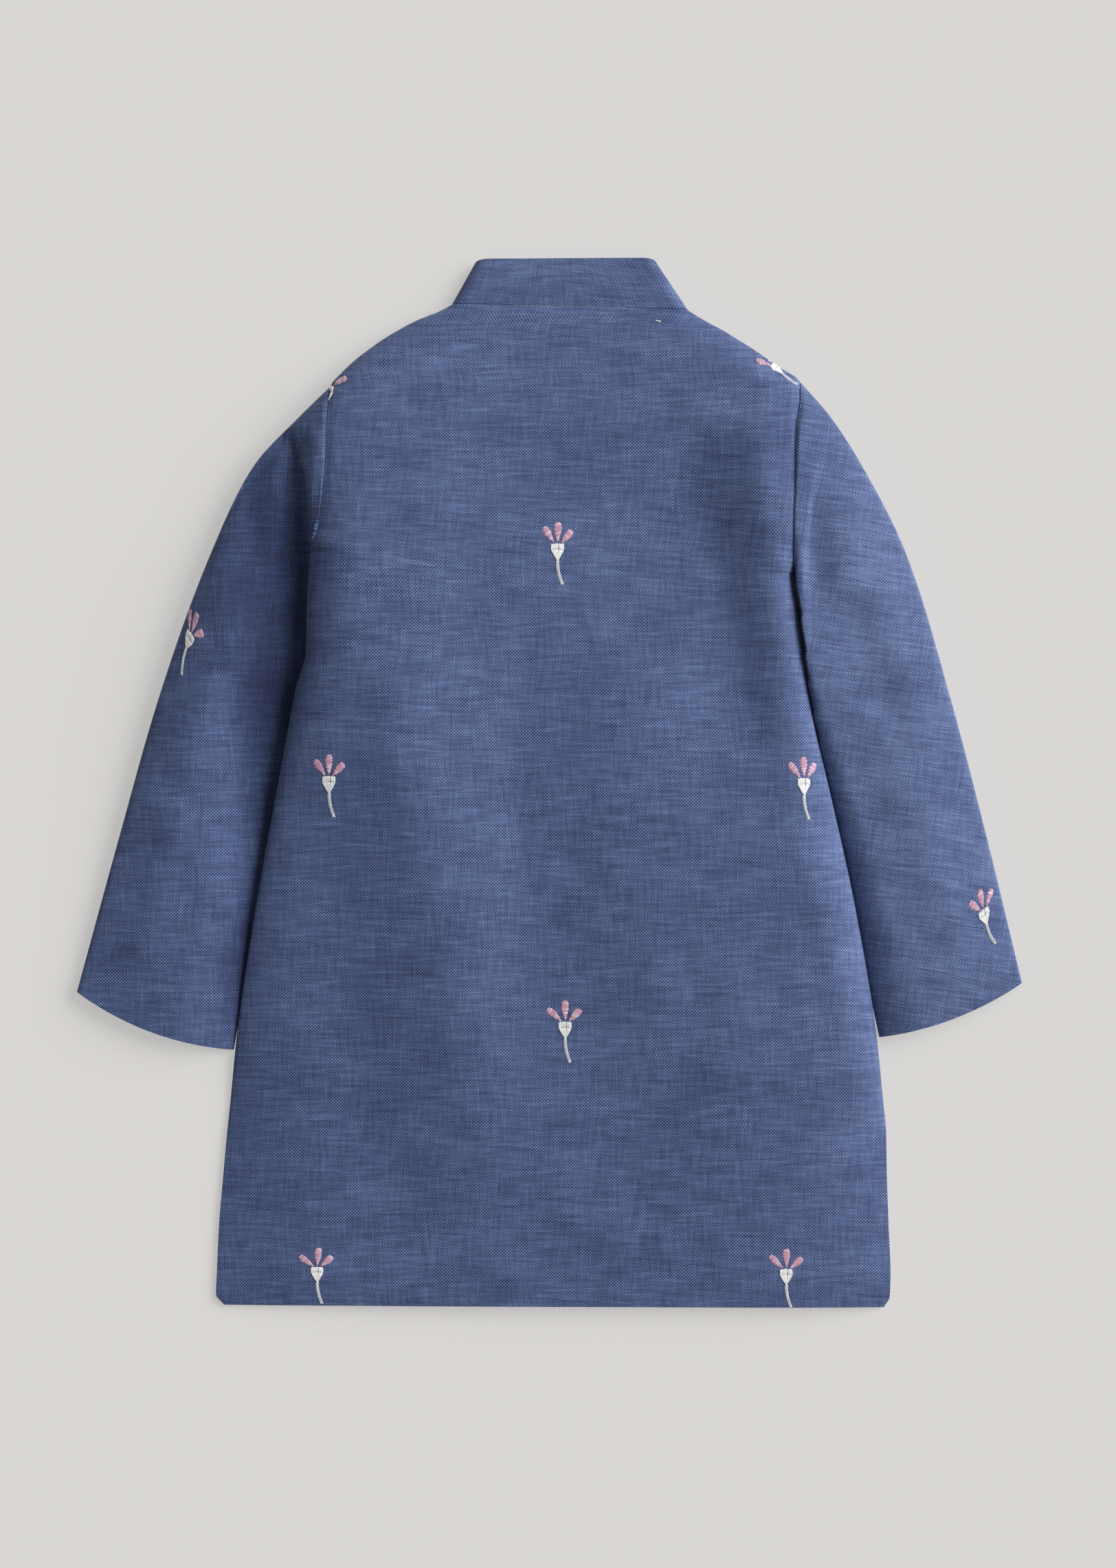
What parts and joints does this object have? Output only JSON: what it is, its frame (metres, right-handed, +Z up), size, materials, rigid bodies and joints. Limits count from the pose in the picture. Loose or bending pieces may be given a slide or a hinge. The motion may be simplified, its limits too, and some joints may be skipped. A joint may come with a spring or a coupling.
{
  "type": "child's band-collar kurta with long sleeves, laid flat on its front",
  "caption": "Child's A-line kurta with a band collar, long set-in sleeves, side slits and a front placket, lying front down on a flat surface.",
  "frame": {"origin": "centre of the part's box, on the surface that the kurta lies on", "axes": "+X across the kurta towards the sleeve on the right of the picture, +Y from the hem to the collar, +Z up from the surface"},
  "size_m": [0.5492, 0.6099, 0.0288],
  "materials": {
    "cloth": "linen-look blue twill with fine slubs, matt",
    "button": "satin dark blue plastic",
    "thread": "glossy embroidery thread, white and pale pink"
  },
  "bodies": {
    "root": {"back": "cloth", "front": "cloth", "sleeve_left": "cloth", "sleeve_right": "cloth", "collar": "cloth", "placket_outer": "cloth", "placket_inner": "cloth", "button_1": "button", "button_2": "button", "button_3": "button"}
  },
  "joints": []
}
